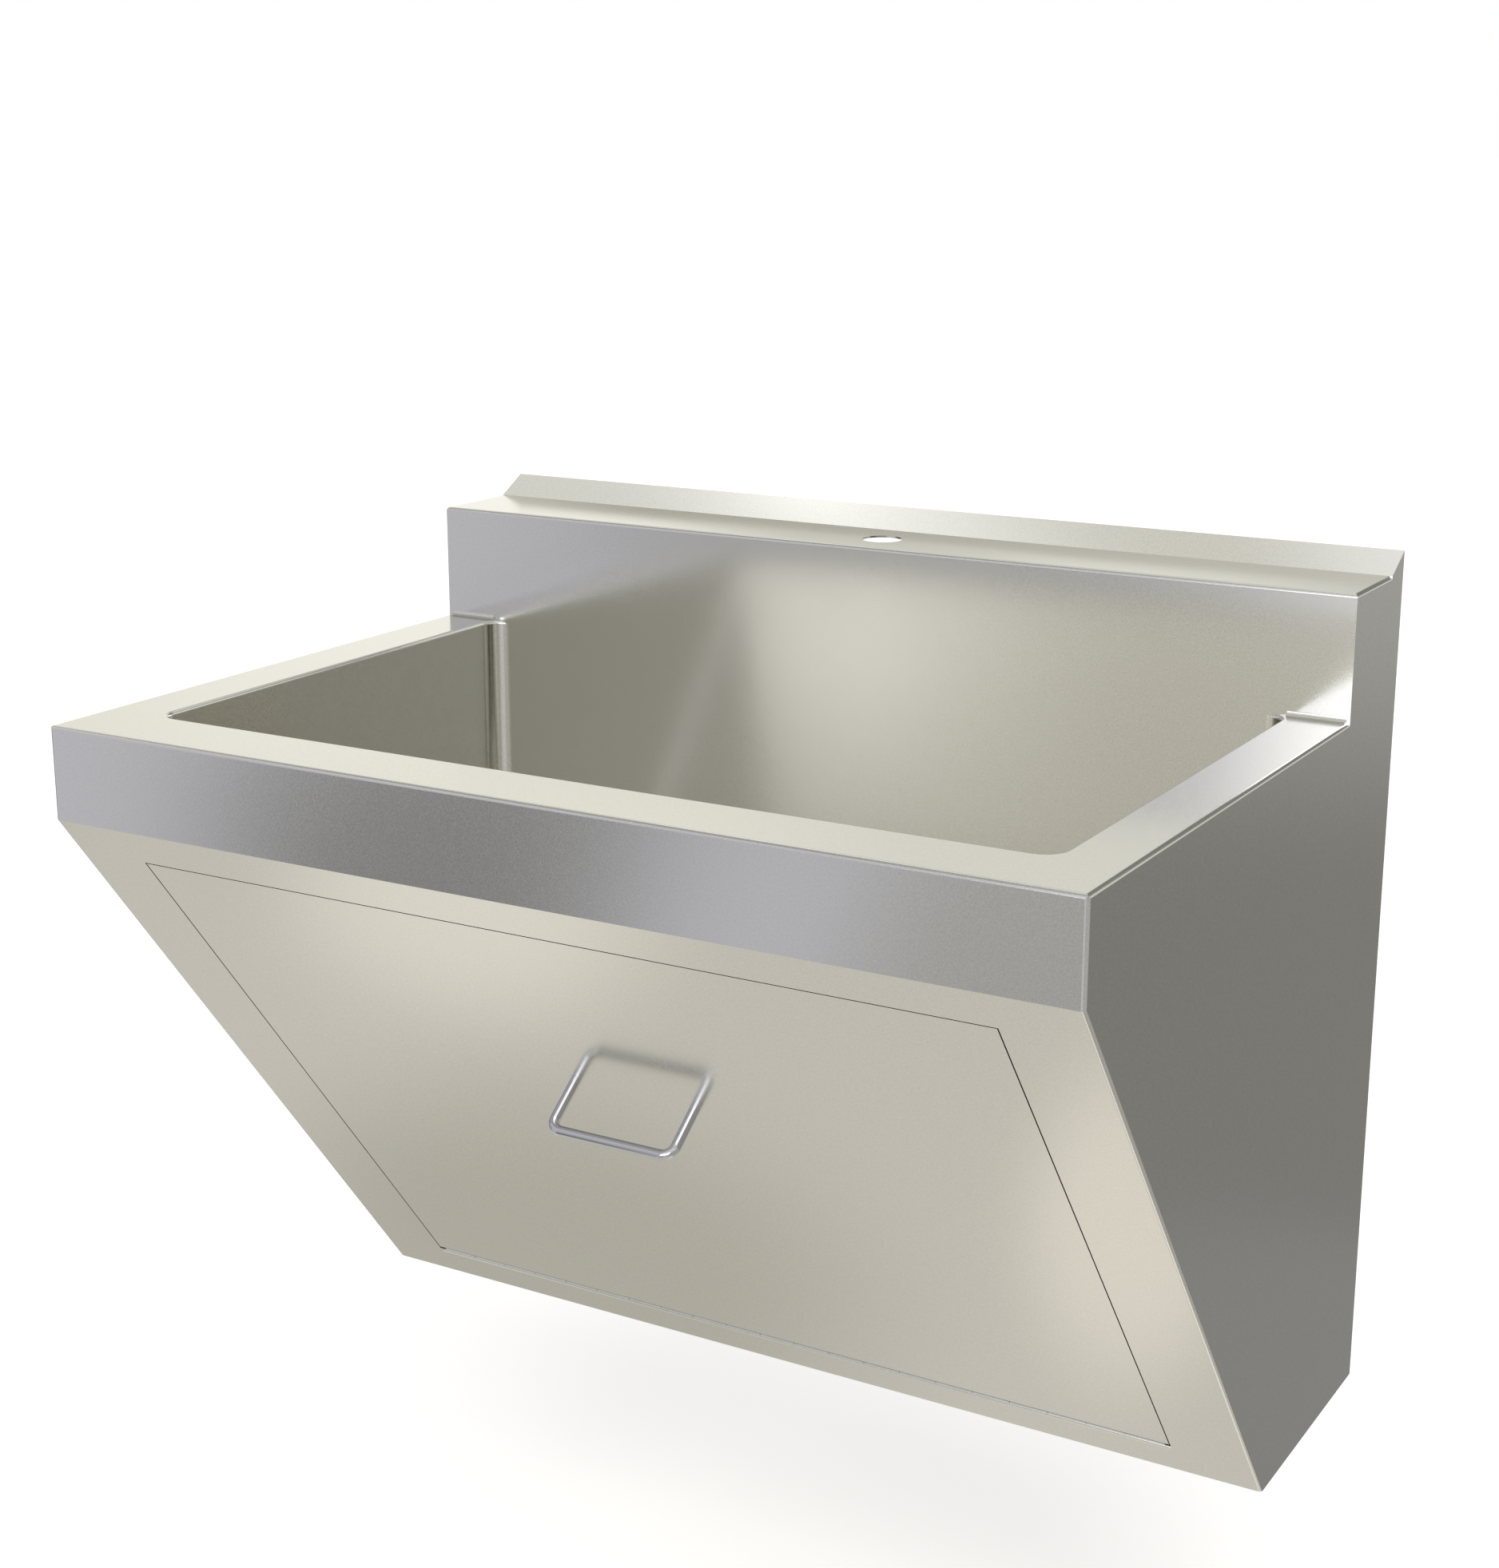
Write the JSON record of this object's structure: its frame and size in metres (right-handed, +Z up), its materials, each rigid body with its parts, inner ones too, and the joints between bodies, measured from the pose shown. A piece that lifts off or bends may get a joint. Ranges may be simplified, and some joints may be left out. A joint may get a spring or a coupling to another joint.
{
  "type": "surgical scrub sink",
  "caption": "Wall-hung stainless scrub sink with a deep bowl, a splash with a ledge and tap hole, and a sloping front with a drop-down access panel and wire pull.",
  "frame": {"origin": "centre of the four wall bolts, on the wall plane behind the sink", "axes": "+X to the right of someone facing the sink, -Y out of the wall towards them, +Z up"},
  "size_m": [0.79, 0.578, 0.6655],
  "materials": {
    "satin_sheet": "satin",
    "plated_steel": "zinc plated",
    "turned_steel": "turned",
    "polished_fittings": "polished",
    "brass": "turned",
    "damping_rubber": "matt",
    "catch_plastic": "matt"
  },
  "bodies": {
    "basin": {"left_side": "satin_sheet", "right_side": "satin_sheet", "rim_deck": "satin_sheet", "front_apron": "satin_sheet", "backsplash": "satin_sheet", "bowl": "satin_sheet", "left_sound_pad": "damping_rubber", "right_sound_pad": "damping_rubber", "front_sound_pad": "damping_rubber", "upper_rail": "plated_steel", "lower_rail": "plated_steel", "left_ledge_brace": "plated_steel", "right_ledge_brace": "plated_steel", "floor_pan": "satin_sheet", "pan_screws": "plated_steel", "earth_stud": "brass", "earth_nut": "brass", "waste_flange": "polished_fittings", "waste_gasket": "damping_rubber", "waste_nut": "plated_steel", "tailpiece": "polished_fittings", "tail_slip_nut": "polished_fittings", "trap_bend": "polished_fittings", "inlet_slip_nut": "polished_fittings", "outlet_slip_nut": "polished_fittings", "trap_arm": "polished_fittings", "wall_flange": "polished_fittings", "cleanout_plug": "brass", "frame_leaf": "plated_steel", "hinge_pin": "turned_steel", "frame_rivets": "plated_steel", "left_catch": "catch_plastic", "right_catch": "catch_plastic", "left_stay_bracket": "plated_steel", "right_stay_bracket": "plated_steel", "left_stay_stud": "turned_steel", "right_stay_stud": "turned_steel", "left_stay_nut": "plated_steel", "right_stay_nut": "plated_steel"},
    "panel": {"access_panel": "satin_sheet", "upper_stiffener": "plated_steel", "lower_stiffener": "plated_steel", "pull_handle": "polished_fittings", "handle_screws": "plated_steel", "panel_leaf": "plated_steel", "panel_rivets": "plated_steel", "left_strike": "plated_steel", "right_strike": "plated_steel", "left_stay_lug": "plated_steel", "right_stay_lug": "plated_steel", "left_stay_rivet": "turned_steel", "right_stay_rivet": "turned_steel"},
    "left_stay": {"left_stay": "plated_steel"},
    "right_stay": {"right_stay": "plated_steel"},
    "strainer": {"strainer": "polished_fittings"}
  },
  "joints": [
    {"name": "panel_hinge", "type": "hinge", "parent": "basin", "child": "panel", "pos_m": [0, -0.22959, -0.28356], "axis": [1, 0, 0], "range_deg": [0, 90]},
    {"name": "left_stay_swing", "type": "hinge", "parent": "panel", "child": "left_stay", "pos_m": [-0.3165, -0.2772, -0.20719], "axis": [1, 0, 0], "range_deg": [-45, 0]},
    {"name": "right_stay_swing", "type": "hinge", "parent": "panel", "child": "right_stay", "pos_m": [0.3165, -0.2772, -0.20719], "axis": [1, 0, 0], "range_deg": [-45, 0]},
    {"name": "strainer_lift", "type": "slide", "parent": "basin", "child": "strainer", "axis": [0, 0, 1], "range_m": [0, 0.04]}
  ],
  "couplings": [
    {"joint": "left_stay_swing", "follows": "panel_hinge", "ratio": -0.5},
    {"joint": "right_stay_swing", "follows": "panel_hinge", "ratio": -0.5}
  ]
}
